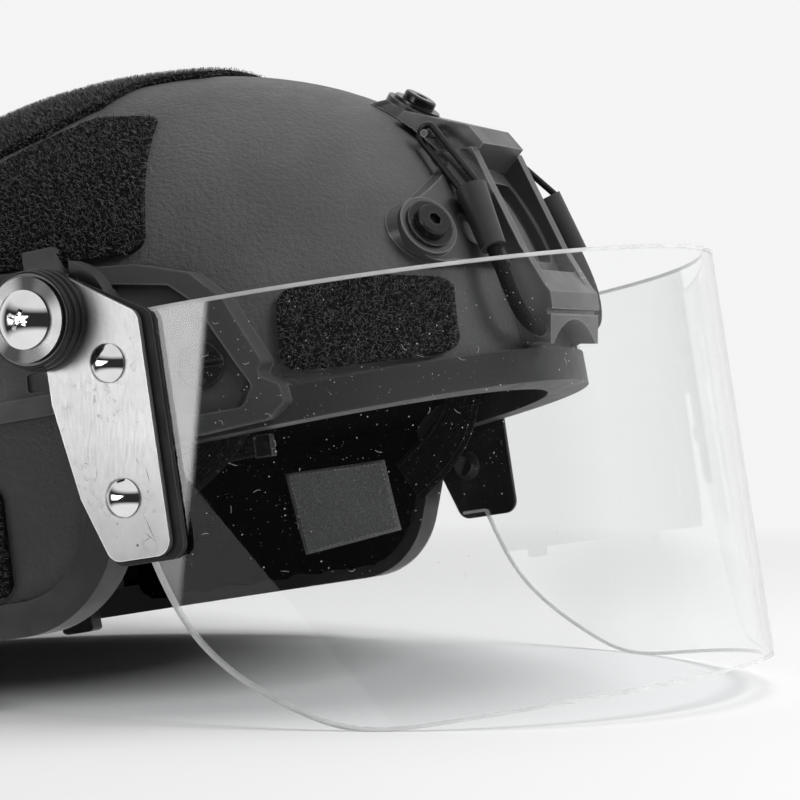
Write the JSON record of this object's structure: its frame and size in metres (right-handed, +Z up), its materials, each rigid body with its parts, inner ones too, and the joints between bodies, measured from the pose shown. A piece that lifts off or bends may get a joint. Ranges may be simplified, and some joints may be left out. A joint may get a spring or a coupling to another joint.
{
  "type": "riot helmet",
  "caption": "Riot helmet with a clear tilting face shield, side rails, forehead shroud, hook-and-loop panels and an open padded inside with straps.",
  "frame": {"origin": "centre of the bounding box at floor level, with the helmet standing on its nape and the low edge of the face shield", "axes": "+X to the wearer's left, +Y to the back of the helmet, +Z up"},
  "size_m": [0.2958, 0.3542, 0.2129],
  "materials": {
    "shell_coating": "matte",
    "rubber": "satin",
    "loop_pile": "fuzzy",
    "rail_plastic": "satin",
    "black_steel": "satin",
    "black_aluminium": "anodised black",
    "chromed_steel": "polished",
    "washer_steel": "satin",
    "plate_steel": "brushed",
    "clear_shield": "clear",
    "ring_plastic": "glossy",
    "fitting_plastic": "satin",
    "webbing": "woven",
    "padding": "soft",
    "label_cloth": "plain"
  },
  "bodies": {
    "helmet": {"shell": "shell_coating", "edge_trim": "rubber", "crown_loop": "loop_pile", "rear_loop": "loop_pile", "side_loop_right": "loop_pile", "side_loop_left": "loop_pile", "front_loop_right": "loop_pile", "front_loop_left": "loop_pile", "ear_loop_right": "loop_pile", "ear_loop_left": "loop_pile", "rail_right": "rail_plastic", "rail_left": "rail_plastic", "rail_screws": "black_steel", "anchor_studs": "black_steel", "shroud_frame": "black_aluminium", "shroud_bolts": "black_steel", "shroud_washers": "washer_steel", "bungee_hook_right": "black_steel", "bungee_hook_left": "black_steel", "cord_sleeve_right": "rubber", "cord_sleeve_left": "rubber", "bungee_cord_right": "webbing", "bungee_cord_left": "webbing", "adapter_right": "fitting_plastic", "adapter_left": "fitting_plastic", "friction_rings_right": "ring_plastic", "friction_rings_left": "ring_plastic", "pivot_washers": "washer_steel", "pivot_screws": "chromed_steel", "ear_liner_right": "padding", "ear_liner_left": "padding", "side_pads_right": "padding", "side_pads_left": "padding", "crown_pad": "padding", "front_pad": "padding", "rear_pad": "padding", "label_patch": "label_cloth", "front_strap_right": "webbing", "front_strap_left": "webbing", "rear_strap_right": "webbing", "rear_strap_left": "webbing", "nape_sliders": "fitting_plastic", "strap_tail": "webbing", "tail_clip": "washer_steel", "chin_strap": "webbing", "chin_cup": "fitting_plastic", "strap_buckle": "fitting_plastic"},
    "visor": {"visor_lens": "clear_shield", "side_plate_right": "plate_steel", "side_plate_left": "plate_steel", "plate_gasket_right": "rubber", "plate_gasket_left": "rubber", "plate_rivets": "chromed_steel", "rivet_washers": "washer_steel"},
    "tab_right": {"release_tab_right": "fitting_plastic"},
    "tab_left": {"release_tab_left": "fitting_plastic"}
  },
  "joints": [
    {"name": "visor_tilt", "type": "hinge", "parent": "helmet", "child": "visor", "pos_m": [0, 0.01021, 0.12352], "axis": [-1, 0, 0], "range_deg": [0, 85]},
    {"name": "release_tab_right", "type": "hinge", "parent": "helmet", "child": "tab_right", "pos_m": [-0.1243, 0.01364, 0.13533], "axis": [0, 0.9871, -0.1598], "range_deg": [0, 12], "stiffness_Nm_per_rad": 0.05},
    {"name": "release_tab_left", "type": "hinge", "parent": "helmet", "child": "tab_left", "pos_m": [0.1243, 0.01364, 0.13533], "axis": [0, -0.9871, 0.1598], "range_deg": [0, 12], "stiffness_Nm_per_rad": 0.05}
  ]
}
